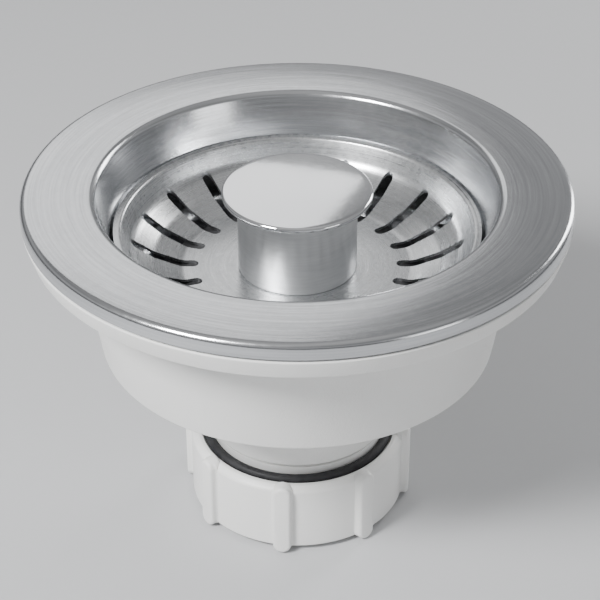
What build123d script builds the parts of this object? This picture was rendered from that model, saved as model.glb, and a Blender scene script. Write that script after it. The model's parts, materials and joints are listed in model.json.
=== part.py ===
from build123d import *
import os
from math import radians, tan

# Basket strainer waste for a kitchen sink, in millimetres.
# The origin is on the axis, in the plane where the steel flange meets the sink. +Z is up.

# Clearances
seat_gap = 0.3  # between parts that rest on each other but come apart
running_gap = 0.05  # radial, between a round part and the hole it turns or slides in
push_gap = 0.02  # radial, between parts that are fixed together

# Pressed steel cup. Its mouth and its floor place most of the other parts
cup_sheet = 0.8
mouth_r = 41.9
mouth_fillet = 1.6
mouth_taper = 3.1
flange_width = 15.1
flange_height = 3.3
flange_edge_fillet = 1.3
ledge_top = -6.35
ledge_width = 1.4
ledge_drop = 0.6
ledge_fillet = 0.9
cup_taper = 1.0
cup_corner_fillet = 4.0
sump_r = 24.6
sump_depth = 6.5
sump_taper = 0.7
sump_floor = -27.0
sump_fillet = 1.4
bolt_hole_gap = 0.4
drain_count = 4
drain_margin = 3.4
drain_width = 8.0
drain_web = 5.2

# Seal under the steel flange
flange_seal_gap = 0.6
flange_seal_inset = 2.0
flange_seal_grooves = 2
flange_seal_groove = 0.6
flange_seal_groove_width = 1.8

# Moulded lower body
body_skirt_depth = 4.4
body_skirt_taper = 1.4
body_plate = 1.9
skirt_wall = 1.8
bowl_mouth_gap = 2.4
bowl_wall = 2.4
bowl_taper = 4.7
bowl_drop = 5.3
bowl_edge_fillet = 0.8
bowl_inner_fillet = 3.0
funnel_angle = 15.0
neck_drop = 21.9
neck_wall = 2.15
neck_groove_depth = 1.905
neck_groove_height = 4.5
neck_collar = 0.65
thread_r = 20.955
spigot_length = 9.5
spigot_chamfer = 0.9
spigot_seat_chamfer = 1.8
gusset_count = 16
gusset_width = 1.8
gusset_depth = 5.6
gusset_end_gap = 0.1
web_count = 4
web_width = 2.6
web_top_drop = 1.7
web_foot_drop = 0.5
web_inset = 6.6
web_overlap = 1.0
hub_wall = 1.6
hub_floor = 1.6

# Seal between the sink and the body
gasket_thickness = 2.0
gasket_stand = 0.6
gasket_inset = 0.1
gasket_margin = 1.8
gasket_groove_gap = 0.1
gasket_chamfer = 0.3

# Clamp screw, its washer and its insert
insert_wall = 2.9
insert_sides = 8
insert_recess = 0.1
insert_height = 12.1
screw_r = 7.0
screw_head_reach = 2.6
screw_head = 3.5
screw_head_fillet = 0.8
screw_end_chamfer = 0.8
screw_wall = 1.65
socket_floor = 1.4
coin_slot_width = 2.2
coin_slot_depth = 1.6
washer_reach = 1.0
washer_thickness = 1.0

# Strainer basket
basket_sheet = 0.6
basket_lip_gap = 0.45
basket_lip_width = 1.5
basket_wall_taper = 2.25
basket_wall_rise = 5.1
basket_heel_width = 4.4
basket_heel_rise = 2.2
basket_clearance = 5.0
basket_floor_margin = 12.0
basket_lip_fillet = 0.8
basket_bend_fillet = 5.0
slot_count = 20
slot_outer_margin = 3.3
slot_inner_margin = 8.4
slot_width = 2.4
slot_first_angle = 90.0

# Knob
knob_height = 18.4
post_r = 12.5
post_wall = 1.4
post_floor = 2.0
post_edge_fillet = 0.4
boss_wall = 2.1
boss_height = 11.5
cap_overhang = 3.2
cap_thickness = 1.5
cap_fillet = 0.7
cap_skirt = 4.0
cap_skirt_wall = 1.4

# Parts under the basket
fixing_r = 2.5
fixing_clearance = 0.1
fixing_inset = 1.8
seal_thickness = 2.2
seal_reach = 3.6
seal_fall = 5.7
seal_lip_width = 1.4
seal_lip_taper = 0.6
seal_bend_fillet = 1.0
plate_margin = 3.0
plate_thickness = 1.0
stem_gap = 0.65
stem_head_reach = 3.8
stem_head = 1.9
stem_end_gap = 1.0
stem_fillet = 0.6
grip_section_r = 0.9
grip_rise = 3.5
grip_groove_play = 0.4
fixing_washer_reach = 2.0
fixing_washer = 0.8
fixing_head_reach = 1.7
fixing_head = 2.4
fixing_head_fillet = 0.6
driver_length = 4.4
driver_width = 1.0
driver_depth = 1.2

# Black ring above the nut
ring_section_r = 1.05

# Outlet nut and what it holds
nut_wall = 2.7
nut_rise = 1.2
nut_shoulder = 1.0
nut_shoulder_inset = 1.3
nut_shoulder_fillet = 1.2
nut_mouth_depth = 1.5
nut_foot_rise = 1.4
nut_foot_inset = 2.1
nut_lip = 2.1
nut_lip_step = 0.5
rib_count = 8
rib_first_angle = -97.9
rib_width = 4.0
rib_rise = 0.8
rib_foot_gap = 0.3
rib_reach = 1.5
rib_root_depth = 1.3
rib_fillet = 0.7
pipe_clearance = 0.05
sealing_gap = 0.7
sealing_thickness = 3.0
slip_ring_thickness = 1.0
slide_gap = 0.1
nose_wall = 0.3
nose_reach = 0.5
cone_gap = 0.25

# Cup, worked out from the values above
flange_r = mouth_r + flange_width
rim_inner_r = flange_r - cup_sheet
flange_under = flange_height - cup_sheet
ledge_outer_r = mouth_r - mouth_taper
ledge_inner_r = ledge_outer_r - ledge_width
ledge_slope = ledge_drop / ledge_width
cup_foot_r = ledge_inner_r - cup_taper
cup_shoulder = sump_floor + sump_depth
bolt_hole_r = screw_r + bolt_hole_gap
drain_mid_r = sump_r - sump_taper - drain_margin - drain_width / 2
flange_seal_inner_r = mouth_r + flange_seal_inset
flange_seal_outer_r = rim_inner_r - flange_seal_gap

# Lower body, insert and clamp screw
body_flange_top = -gasket_stand
body_flange_foot = body_flange_top - body_skirt_depth
body_flange_foot_r = flange_r - body_skirt_taper
skirt_inner_r = body_flange_foot_r - skirt_wall
gasket_groove_floor = -gasket_thickness
body_plate_foot = gasket_groove_floor - body_plate
bowl_mouth_r = mouth_r + bowl_mouth_gap
bowl_top_r = bowl_mouth_r + bowl_wall
bowl_foot_r = bowl_top_r - bowl_taper
bowl_foot = sump_floor - bowl_drop
bowl_floor_r = bowl_foot_r - bowl_wall
bowl_floor = bowl_foot + bowl_wall
funnel_slope = tan(radians(funnel_angle))
gasket_inner_r = bowl_top_r + gasket_inset
gasket_outer_r = flange_r - gasket_margin
neck_groove_r = thread_r - neck_groove_depth
neck_bore_r = neck_groove_r - neck_wall
collar_r = neck_groove_r + neck_collar
collar_foot = bowl_foot - neck_drop
spigot_top = collar_foot - neck_groove_height
spigot_foot = spigot_top - spigot_length
insert_corner_r = screw_r + insert_wall
hub_r = insert_corner_r + hub_wall
hub_top = sump_floor - cup_sheet
insert_foot = hub_top - insert_height
hub_foot = insert_foot - hub_floor
web_top = hub_top - web_top_drop
web_foot = hub_foot - web_foot_drop
web_outer_r = bowl_floor_r - web_inset
screw_head_r = screw_r + screw_head_reach
screw_seat = sump_floor + washer_thickness
screw_head_top = screw_seat + screw_head
screw_foot = insert_foot + seat_gap
socket_r = screw_r - screw_wall
socket_foot = screw_foot + socket_floor
washer_r = screw_head_r + washer_reach

# Basket, knob and what hangs under them
basket_seat = ledge_top - basket_lip_gap * ledge_slope
basket_lip_r = ledge_outer_r - basket_lip_gap
basket_lip_top = basket_seat + seat_gap + basket_sheet
basket_wall_foot_r = basket_lip_r - basket_lip_width - basket_wall_taper
basket_heel_r = basket_wall_foot_r - basket_heel_width
basket_floor_r = post_r + basket_floor_margin
basket_floor = cup_shoulder + basket_clearance
basket_heel = basket_floor + basket_heel_rise
basket_wall_foot = basket_floor + basket_wall_rise
basket_underside = basket_floor - basket_sheet
slot_outer_r = basket_lip_r - slot_outer_margin
slot_inner_r = post_r + slot_inner_margin
cap_top = basket_floor + knob_height
cap_under = cap_top - cap_thickness
cap_r = post_r + cap_overhang
cap_skirt_r = post_r - post_wall - push_gap
boss_r = fixing_r + boss_wall
fixing_hole_r = fixing_r + fixing_clearance
fixing_top = basket_floor + boss_height - fixing_inset
seal_r = sump_r + seal_reach
seal_flat_r = seal_r - seal_fall
seal_foot = basket_underside - seal_thickness
seal_lip_foot = cup_shoulder + seat_gap
plate_r = seal_flat_r - plate_margin
plate_foot = seal_foot - plate_thickness
stem_r = socket_r - stem_gap
stem_head_r = stem_r + stem_head_reach
stem_head_foot = plate_foot - stem_head
fixing_head_foot = socket_foot + stem_end_gap
fixing_head_top = fixing_head_foot + fixing_head
stem_foot = fixing_head_top + fixing_washer
fixing_washer_r = fixing_r + fixing_washer_reach
fixing_head_r = fixing_r + fixing_head_reach
grip_height = stem_foot + grip_rise
grip_ring_r = socket_r - running_gap - grip_section_r
grip_groove_r = grip_ring_r - grip_section_r - running_gap
grip_groove_width = 2 * grip_section_r + grip_groove_play

# Black ring, outlet nut and its washers
ring_r = neck_groove_r + ring_section_r + push_gap
ring_height = spigot_top + ring_section_r + running_gap
nut_bore_r = thread_r + running_gap
nut_r = nut_bore_r + nut_wall
nut_top = spigot_top + nut_rise
nut_top_r = nut_r - nut_shoulder_inset
nut_mouth_r = ring_r + ring_section_r + seat_gap
washer_top = spigot_foot - seat_gap
washer_foot = washer_top - sealing_thickness
slip_ring_foot = washer_foot - slip_ring_thickness
nut_lip_top = slip_ring_foot - slide_gap
nut_foot = nut_lip_top - nut_lip
nut_side_foot = nut_foot + nut_foot_rise
nut_foot_r = nut_r - nut_foot_inset
nut_lip_r = neck_bore_r - nut_lip_step
rib_top = nut_top + rib_rise
rib_foot = nut_foot + rib_foot_gap
rib_root_r = nut_r - rib_root_depth
rib_outer_r = nut_r + rib_reach
sealing_bore_r = nut_lip_r + pipe_clearance
sealing_outer_r = nut_bore_r - sealing_gap
cone_width = spigot_seat_chamfer - cone_gap
nose_r = sealing_bore_r + nose_wall
nose_top = spigot_foot + spigot_seat_chamfer + nose_reach


def funnel_outside(radius):
    """Height of the funnel's outer face at a radius."""
    return bowl_foot - (bowl_foot_r - radius) * funnel_slope


def funnel_inside(radius):
    """Height of the funnel's inner face at a radius."""
    return bowl_floor - (bowl_floor_r - radius) * funnel_slope


os.makedirs("parts", exist_ok=True)

# Steel cup: one pressed sheet, from the rim's lower edge over the flange and down to the sump
with BuildPart() as flange_cup:
    with BuildSketch(Plane.XZ):
        with BuildLine():
            FilletPolyline(
                (flange_r, 0),
                (flange_r, flange_height),
                (mouth_r, flange_height),
                (ledge_outer_r, ledge_top),
                (ledge_inner_r, ledge_top - ledge_drop),
                (cup_foot_r, cup_shoulder),
                (sump_r, cup_shoulder),
                (sump_r - sump_taper, sump_floor),
                (bolt_hole_r, sump_floor),
                radius=[
                    flange_edge_fillet,
                    mouth_fillet,
                    ledge_fillet,
                    ledge_fillet,
                    cup_corner_fillet,
                    sump_fillet,
                    sump_fillet,
                ],
            )
            offset(amount=cup_sheet, side=Side.LEFT)
        make_face()
    revolve(axis=Axis.Z)
    drain_pitch = 360 / drain_count
    drain_span = drain_pitch - (drain_width + drain_web) / radians(drain_mid_r)
    with BuildSketch(Plane.XY.offset(sump_floor)):
        with PolarLocations(0, drain_count):
            SlotArc(
                CenterArc((0, 0), drain_mid_r, -drain_span / 2, drain_span, mode=Mode.PRIVATE),
                drain_width,
            )
    extrude(amount=cup_sheet, both=True, mode=Mode.SUBTRACT)
flange_cup.part.label = "flange_cup"
export_step(flange_cup.part, "parts/flange_cup.step")

# Seal under the flange: a flat ring with two grooves in the face that meets the sink
with BuildPart() as flange_seal:
    with BuildSketch(Plane.XY):
        Circle(flange_seal_outer_r)
        Circle(flange_seal_inner_r, mode=Mode.SUBTRACT)
    extrude(amount=flange_under)
    groove_pitch = (flange_seal_outer_r - flange_seal_inner_r) / (flange_seal_grooves + 1)
    with BuildSketch(Plane.XY):
        for groove_number in range(flange_seal_grooves):
            groove_r = flange_seal_outer_r - (groove_number + 1) * groove_pitch
            Circle(groove_r + flange_seal_groove_width / 2)
            Circle(groove_r - flange_seal_groove_width / 2, mode=Mode.SUBTRACT)
    extrude(amount=flange_seal_groove, mode=Mode.SUBTRACT)
flange_seal.part.label = "flange_seal"
export_step(flange_seal.part, "parts/flange_seal.step")

# One of the gussets between the bowl and the underside of the body's flange
with BuildPart() as gusset:
    with BuildSketch(Plane.XZ):
        with BuildLine():
            Polyline(
                (bowl_top_r - bowl_wall / 2, body_plate_foot + body_plate / 2),
                (skirt_inner_r - gusset_end_gap, body_plate_foot + body_plate / 2),
                (skirt_inner_r - gusset_end_gap, body_plate_foot),
                (bowl_top_r - bowl_wall / 2, body_plate_foot - gusset_depth),
                close=True,
            )
        make_face()
    extrude(amount=gusset_width / 2, both=True)

# Lower body: flange, tapered bowl, funnel, neck and spigot in one moulding
with BuildPart() as lower_body:
    with BuildSketch(Plane.XZ):
        with BuildLine():
            Polyline(
                (bowl_mouth_r, body_flange_top),
                (gasket_inner_r - gasket_groove_gap, body_flange_top),
                (gasket_inner_r - gasket_groove_gap, gasket_groove_floor),
                (gasket_outer_r + gasket_groove_gap, gasket_groove_floor),
                (gasket_outer_r + gasket_groove_gap, body_flange_top),
                (flange_r, body_flange_top),
                (body_flange_foot_r, body_flange_foot),
                (body_flange_foot_r - skirt_wall, body_flange_foot),
                (body_flange_foot_r - skirt_wall, body_plate_foot),
                (bowl_top_r, body_plate_foot),
                (bowl_foot_r, bowl_foot),
                (collar_r, funnel_outside(collar_r)),
                (collar_r, collar_foot),
                (neck_groove_r, collar_foot),
                (neck_groove_r, spigot_top),
                (thread_r, spigot_top),
                (thread_r, spigot_foot + spigot_chamfer),
                (thread_r - spigot_chamfer, spigot_foot),
                (neck_bore_r + spigot_seat_chamfer, spigot_foot),
                (neck_bore_r, spigot_foot + spigot_seat_chamfer),
                (neck_bore_r, funnel_inside(neck_bore_r)),
                (bowl_floor_r, bowl_floor),
                close=True,
            )
        make_face()
        outline = vertices()
        fillet(outline.sort_by_distance((bowl_foot_r, bowl_foot))[0], bowl_edge_fillet)
        fillet(vertices().sort_by_distance((bowl_floor_r, bowl_floor))[0], bowl_inner_fillet)
    revolve(axis=Axis.Z)
    with PolarLocations(0, gusset_count, start_angle=180 / gusset_count):
        add(gusset.part)
lower_body.part.label = "lower_body"
export_step(lower_body.part, "parts/lower_body.step")

# The space inside the funnel and the top of the neck, where the water runs
with BuildPart() as water_way:
    with BuildSketch(Plane.XZ):
        with BuildLine():
            Polyline(
                (0, hub_top),
                (bowl_floor_r, hub_top),
                (bowl_floor_r, bowl_floor),
                (neck_bore_r, funnel_inside(neck_bore_r)),
                (neck_bore_r, web_foot),
                (0, web_foot),
                close=True,
            )
        make_face()
    revolve(axis=Axis.Z)

# One web, from inside the hub to past the walls of the water way
with BuildPart() as web:
    web_end_top = (funnel_inside(web_outer_r) + web_top) / 2
    with BuildSketch(Plane.XZ):
        with BuildLine():
            Polyline(
                (hub_r - web_overlap, web_top),
                (web_outer_r, web_end_top),
                (web_outer_r, web_foot),
                (hub_r - web_overlap, web_foot),
                close=True,
            )
        make_face()
    extrude(amount=web_width / 2, both=True)

# Hub for the insert, and the webs that carry it. They are of one moulding with the lower body,
# and this solid takes them as far as its inner faces
with BuildPart() as hub_spider:
    with BuildSketch(Plane.XY.offset(hub_top)):
        Circle(hub_r)
    extrude(amount=hub_foot - hub_top)
    with PolarLocations(0, web_count, start_angle=180 / web_count):
        add(web.part)
    add(water_way.part, mode=Mode.INTERSECT)
    with BuildSketch(Plane.XY.offset(hub_top)):
        RegularPolygon(insert_corner_r + push_gap, insert_sides)
    extrude(amount=insert_foot - hub_top, mode=Mode.SUBTRACT)
hub_spider.part.label = "hub_spider"
export_step(hub_spider.part, "parts/hub_spider.step")

# Gasket in the groove of the body's flange, pressed up against the sink
with BuildPart() as sink_gasket:
    with BuildSketch(Plane.XY.offset(gasket_groove_floor)):
        Circle(gasket_outer_r)
        Circle(gasket_inner_r, mode=Mode.SUBTRACT)
    extrude(amount=-gasket_groove_floor)
    chamfer(edges().group_by(Axis.Z)[-1], gasket_chamfer)
sink_gasket.part.label = "sink_gasket"
export_step(sink_gasket.part, "parts/sink_gasket.step")

# Octagonal threaded insert in the hub
with BuildPart() as brass_insert:
    with BuildSketch(Plane.XY.offset(hub_top - insert_recess)):
        RegularPolygon(insert_corner_r, insert_sides)
        Circle(screw_r + running_gap, mode=Mode.SUBTRACT)
    extrude(amount=insert_foot - hub_top + insert_recess)
brass_insert.part.label = "brass_insert"
export_step(brass_insert.part, "parts/brass_insert.step")

# Flat washer under the clamp screw's head
with BuildPart() as screw_washer:
    with BuildSketch(Plane.XY.offset(sump_floor)):
        Circle(washer_r)
        Circle(bolt_hole_r, mode=Mode.SUBTRACT)
    extrude(amount=washer_thickness)
screw_washer.part.label = "screw_washer"
export_step(screw_washer.part, "parts/screw_washer.step")

# Clamp screw: a low round head with a coin slot, and a blind socket for the basket's stem
with BuildPart() as clamp_screw:
    with BuildSketch(Plane.XY.offset(screw_seat)):
        Circle(screw_head_r)
    extrude(amount=screw_head)
    fillet(edges().group_by(Axis.Z)[-1], screw_head_fillet)
    with BuildSketch(Plane.XY.offset(screw_seat)):
        Circle(screw_r)
    extrude(amount=screw_foot - screw_seat)
    chamfer(edges().group_by(Axis.Z)[0], screw_end_chamfer)
    with BuildSketch(Plane.XY.offset(screw_head_top)):
        Circle(socket_r)
    extrude(amount=socket_foot - screw_head_top, mode=Mode.SUBTRACT)
    with BuildSketch(Plane.XY.offset(screw_head_top)):
        Rectangle(2 * screw_head_r, coin_slot_width)
    extrude(amount=-coin_slot_depth, mode=Mode.SUBTRACT)
clamp_screw.part.label = "clamp_screw"
export_step(clamp_screw.part, "parts/clamp_screw.step")

# Strainer basket: one pressed dish with a ring of radial slots cut through wall and floor
with BuildPart() as basket:
    with BuildSketch(Plane.XZ):
        with BuildLine():
            FilletPolyline(
                (basket_lip_r, basket_lip_top),
                (basket_lip_r - basket_lip_width, basket_lip_top),
                (basket_wall_foot_r, basket_wall_foot),
                (basket_heel_r, basket_heel),
                (basket_floor_r, basket_floor),
                (fixing_hole_r, basket_floor),
                radius=[
                    basket_lip_fillet,
                    basket_bend_fillet,
                    basket_bend_fillet,
                    basket_bend_fillet,
                ],
            )
            offset(amount=basket_sheet, side=Side.LEFT)
        make_face()
    revolve(axis=Axis.Z)
    slot_length = slot_outer_r - slot_inner_r
    slot_mid_r = (slot_outer_r + slot_inner_r) / 2
    with BuildSketch(Plane.XY.offset(basket_lip_top)):
        with PolarLocations(slot_mid_r, slot_count, start_angle=slot_first_angle):
            SlotOverall(slot_length, slot_width)
    extrude(amount=basket_underside - basket_lip_top, mode=Mode.SUBTRACT)
basket.part.label = "basket"
export_step(basket.part, "parts/basket.step")

# Hollow post of the knob, with a boss inside for the fixing screw
with BuildPart() as knob_post:
    with BuildSketch(Plane.XZ):
        with BuildLine():
            Polyline(
                (fixing_r + running_gap, basket_floor),
                (post_r, basket_floor),
                (post_r, cap_under),
                (post_r - post_wall, cap_under),
                (post_r - post_wall, basket_floor + post_floor),
                (boss_r, basket_floor + post_floor),
                (boss_r, basket_floor + boss_height),
                (fixing_r + running_gap, basket_floor + boss_height),
                close=True,
            )
        make_face()
        fillet(vertices().sort_by_distance((post_r, basket_floor))[0], post_edge_fillet)
    revolve(axis=Axis.Z)
knob_post.part.label = "knob_post"
export_step(knob_post.part, "parts/knob_post.step")

# Round cap on the post, with a skirt that snaps inside it
with BuildPart() as knob_cap:
    with BuildSketch(Plane.XZ):
        with BuildLine():
            Polyline(
                (0, cap_top),
                (cap_r, cap_top),
                (cap_r, cap_under),
                (cap_skirt_r, cap_under),
                (cap_skirt_r, cap_under - cap_skirt),
                (cap_skirt_r - cap_skirt_wall, cap_under - cap_skirt),
                (cap_skirt_r - cap_skirt_wall, cap_under),
                (0, cap_under),
                close=True,
            )
        make_face()
        rim = vertices().filter_by(lambda v: abs(v.X - cap_r) < push_gap)
        fillet(rim, cap_fillet)
    revolve(axis=Axis.Z)
knob_cap.part.label = "knob_cap"
export_step(knob_cap.part, "parts/knob_cap.step")

# Rubber seal under the basket: a flat disc whose outer lip turns down on to the cup's shoulder
with BuildPart() as basket_seal:
    with BuildSketch(Plane.XZ):
        with BuildLine():
            Polyline(
                (fixing_hole_r, basket_underside),
                (seal_flat_r, basket_underside),
                (seal_r, seal_foot),
                (seal_r - seal_lip_taper, seal_lip_foot),
                (seal_r - seal_lip_taper - seal_lip_width, seal_lip_foot),
                (seal_flat_r, seal_foot),
                (fixing_hole_r, seal_foot),
                close=True,
            )
        make_face()
        outer_bend = vertices().sort_by_distance((seal_r, seal_foot))[0]
        upper_bend = vertices().sort_by_distance((seal_flat_r, basket_underside))[0]
        fillet([outer_bend, upper_bend], seal_bend_fillet)
    revolve(axis=Axis.Z)
basket_seal.part.label = "basket_seal"
export_step(basket_seal.part, "parts/basket_seal.step")

# Steel plate that backs the seal
with BuildPart() as seal_plate:
    with BuildSketch(Plane.XY.offset(plate_foot)):
        Circle(plate_r)
        Circle(fixing_hole_r, mode=Mode.SUBTRACT)
    extrude(amount=plate_thickness)
    fillet(edges().group_by(Axis.Z)[0].sort_by(SortBy.LENGTH)[-1], plate_thickness / 2)
seal_plate.part.label = "seal_plate"
export_step(seal_plate.part, "parts/seal_plate.step")

# Stem that enters the clamp screw, with a groove for the grip ring
with BuildPart() as stem:
    with BuildSketch(Plane.XZ):
        with BuildLine():
            Polyline(
                (fixing_hole_r, plate_foot),
                (stem_head_r, plate_foot),
                (stem_head_r, stem_head_foot),
                (stem_r, stem_head_foot),
                (stem_r, grip_height + grip_groove_width / 2),
                (grip_groove_r, grip_height + grip_groove_width / 2),
                (grip_groove_r, grip_height - grip_groove_width / 2),
                (stem_r, grip_height - grip_groove_width / 2),
                (stem_r, stem_foot),
                (fixing_hole_r, stem_foot),
                close=True,
            )
        make_face()
        fillet(vertices().sort_by_distance((stem_r, stem_head_foot))[0], stem_fillet)
        chamfer(vertices().sort_by_distance((stem_r, stem_foot))[0], stem_fillet)
    revolve(axis=Axis.Z)
stem.part.label = "stem"
export_step(stem.part, "parts/stem.step")

# Ring on the stem that grips the clamp screw's socket
with BuildPart() as grip_ring:
    with BuildSketch(Plane.XZ):
        with Locations((grip_ring_r, grip_height)):
            Circle(grip_section_r)
    revolve(axis=Axis.Z)
grip_ring.part.label = "grip_ring"
export_step(grip_ring.part, "parts/grip_ring.step")

# Washer between the stem and the fixing screw's head
with BuildPart() as knob_washer:
    with BuildSketch(Plane.XY.offset(stem_foot)):
        Circle(fixing_washer_r)
        Circle(fixing_hole_r, mode=Mode.SUBTRACT)
    extrude(amount=-fixing_washer)
knob_washer.part.label = "knob_washer"
export_step(knob_washer.part, "parts/knob_washer.step")

# Fixing screw up through the stem, plate, seal and basket into the knob's boss
with BuildPart() as knob_screw:
    with BuildSketch(Plane.XY.offset(fixing_head_top)):
        Circle(fixing_head_r)
    extrude(amount=-fixing_head)
    fillet(edges().group_by(Axis.Z)[0], fixing_head_fillet)
    with BuildSketch(Plane.XY.offset(fixing_head_top - fixing_head)):
        Rectangle(driver_length, driver_width)
        Rectangle(driver_width, driver_length)
    extrude(amount=driver_depth, mode=Mode.SUBTRACT)
    with BuildSketch(Plane.XY.offset(fixing_head_top)):
        Circle(fixing_r)
    extrude(amount=fixing_top - fixing_head_top)
knob_screw.part.label = "knob_screw"
export_step(knob_screw.part, "parts/knob_screw.step")

# Black ring round the neck, on the spigot's upper face and inside the nut's mouth
with BuildPart() as neck_ring:
    with BuildSketch(Plane.XZ):
        with Locations((ring_r, ring_height)):
            Circle(ring_section_r)
    revolve(axis=Axis.Z)
neck_ring.part.label = "neck_ring"
export_step(neck_ring.part, "parts/neck_ring.step")

# One grip rib of the nut: a flat pill standing out of the wall, with a rounded outer edge
with BuildPart() as grip_rib:
    rib_centre = (rib_root_r, 0, (rib_top + rib_foot) / 2)
    with BuildSketch(Plane(origin=rib_centre, x_dir=(0, 0, 1), z_dir=(1, 0, 0))):
        SlotOverall(rib_top - rib_foot, rib_width)
    extrude(amount=rib_outer_r - rib_root_r)
    fillet(faces().sort_by(Axis.X)[-1].edges(), rib_fillet)

# Outlet nut: a turned shell with an inward lip at the foot and eight pill-shaped grip ribs
with BuildPart() as outlet_nut:
    with BuildSketch(Plane.XZ):
        with BuildLine():
            Polyline(
                (nut_mouth_r, nut_top),
                (nut_top_r, nut_top),
                (nut_r, nut_top - nut_shoulder),
                (nut_r, nut_side_foot),
                (nut_foot_r, nut_foot),
                (nut_lip_r, nut_foot),
                (nut_lip_r, nut_lip_top),
                (nut_bore_r, nut_lip_top),
                (nut_bore_r, nut_top - nut_mouth_depth),
                (nut_mouth_r, nut_top - nut_mouth_depth),
                close=True,
            )
        make_face()
        fillet(vertices().sort_by_distance((nut_r, nut_top - nut_shoulder))[0], nut_shoulder_fillet)
    revolve(axis=Axis.Z)
    with PolarLocations(0, rib_count, start_angle=rib_first_angle):
        add(grip_rib.part)
outlet_nut.part.label = "outlet_nut"
export_step(outlet_nut.part, "parts/outlet_nut.step")

# Tapered washer that seals the pipe, with its thin nose through the spigot's chamfer into the neck
with BuildPart() as pipe_washer:
    with BuildSketch(Plane.XZ):
        with BuildLine():
            Polyline(
                (sealing_bore_r, washer_foot),
                (sealing_outer_r, washer_foot),
                (sealing_outer_r, washer_top),
                (nose_r + cone_width, washer_top),
                (nose_r, washer_top + cone_width),
                (nose_r, nose_top),
                (sealing_bore_r, nose_top),
                close=True,
            )
        make_face()
    revolve(axis=Axis.Z)
pipe_washer.part.label = "pipe_washer"
export_step(pipe_washer.part, "parts/pipe_washer.step")

# Hard ring between the washer and the nut's lip
with BuildPart() as slip_ring:
    with BuildSketch(Plane.XY.offset(slip_ring_foot)):
        Circle(sealing_outer_r)
        Circle(sealing_bore_r, mode=Mode.SUBTRACT)
    extrude(amount=slip_ring_thickness)
slip_ring.part.label = "slip_ring"
export_step(slip_ring.part, "parts/slip_ring.step")
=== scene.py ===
import json
from math import acos, asin, atan2, ceil, cos, hypot, pi, radians, sin, sqrt, tan

import bmesh
import bpy
from mathutils import Matrix, Quaternion, Vector
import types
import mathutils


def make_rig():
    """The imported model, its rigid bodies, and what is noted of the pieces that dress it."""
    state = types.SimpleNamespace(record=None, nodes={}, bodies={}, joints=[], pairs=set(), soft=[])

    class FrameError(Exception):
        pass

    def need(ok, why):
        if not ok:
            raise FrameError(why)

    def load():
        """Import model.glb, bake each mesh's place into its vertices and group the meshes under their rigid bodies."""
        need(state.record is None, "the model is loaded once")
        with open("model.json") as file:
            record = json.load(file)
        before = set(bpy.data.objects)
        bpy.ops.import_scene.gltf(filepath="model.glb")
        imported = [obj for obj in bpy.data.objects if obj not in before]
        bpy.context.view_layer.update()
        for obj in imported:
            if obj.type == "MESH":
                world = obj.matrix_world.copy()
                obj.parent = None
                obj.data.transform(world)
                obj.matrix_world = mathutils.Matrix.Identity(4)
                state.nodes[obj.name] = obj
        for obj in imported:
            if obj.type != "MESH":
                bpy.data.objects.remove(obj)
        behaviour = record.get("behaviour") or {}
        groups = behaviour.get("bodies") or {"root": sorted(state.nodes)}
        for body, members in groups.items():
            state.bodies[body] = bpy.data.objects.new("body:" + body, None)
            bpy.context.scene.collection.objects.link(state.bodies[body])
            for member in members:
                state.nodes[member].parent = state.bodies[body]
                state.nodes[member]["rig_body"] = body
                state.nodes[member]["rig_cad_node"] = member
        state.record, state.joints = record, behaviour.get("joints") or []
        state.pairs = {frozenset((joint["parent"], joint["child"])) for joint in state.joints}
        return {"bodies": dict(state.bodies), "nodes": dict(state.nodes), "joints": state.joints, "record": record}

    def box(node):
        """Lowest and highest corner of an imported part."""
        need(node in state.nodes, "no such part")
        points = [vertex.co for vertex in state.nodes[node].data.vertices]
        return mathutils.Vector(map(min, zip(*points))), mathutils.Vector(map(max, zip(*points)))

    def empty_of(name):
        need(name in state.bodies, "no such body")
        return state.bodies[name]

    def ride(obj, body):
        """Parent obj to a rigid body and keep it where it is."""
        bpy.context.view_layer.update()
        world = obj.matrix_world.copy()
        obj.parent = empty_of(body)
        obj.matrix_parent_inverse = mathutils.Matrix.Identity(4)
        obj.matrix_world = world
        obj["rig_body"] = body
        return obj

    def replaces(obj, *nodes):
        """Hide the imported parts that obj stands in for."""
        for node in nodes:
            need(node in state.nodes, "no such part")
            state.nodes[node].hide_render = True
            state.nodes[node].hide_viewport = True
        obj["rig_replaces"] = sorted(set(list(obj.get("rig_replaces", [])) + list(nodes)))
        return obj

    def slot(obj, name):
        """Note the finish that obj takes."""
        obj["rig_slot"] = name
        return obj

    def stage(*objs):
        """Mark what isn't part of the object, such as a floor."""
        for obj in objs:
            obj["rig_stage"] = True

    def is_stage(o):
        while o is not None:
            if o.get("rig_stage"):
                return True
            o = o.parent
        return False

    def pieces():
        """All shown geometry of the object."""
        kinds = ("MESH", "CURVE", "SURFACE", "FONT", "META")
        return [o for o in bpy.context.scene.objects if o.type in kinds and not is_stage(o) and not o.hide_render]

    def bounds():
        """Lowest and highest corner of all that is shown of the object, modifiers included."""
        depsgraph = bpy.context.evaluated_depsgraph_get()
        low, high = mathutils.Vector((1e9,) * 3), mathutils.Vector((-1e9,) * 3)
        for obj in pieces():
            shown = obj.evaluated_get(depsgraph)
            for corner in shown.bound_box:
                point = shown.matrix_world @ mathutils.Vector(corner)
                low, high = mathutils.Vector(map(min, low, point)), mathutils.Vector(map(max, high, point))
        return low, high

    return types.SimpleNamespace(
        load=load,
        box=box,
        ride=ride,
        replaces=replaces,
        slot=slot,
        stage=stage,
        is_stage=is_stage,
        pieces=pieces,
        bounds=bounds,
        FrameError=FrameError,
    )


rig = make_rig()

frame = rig.load()
cad_box = [list(corner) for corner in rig.bounds()]

# Sizes are in millimetres in the object's own frame, and MM turns them into metres.
MM = 0.001
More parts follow.
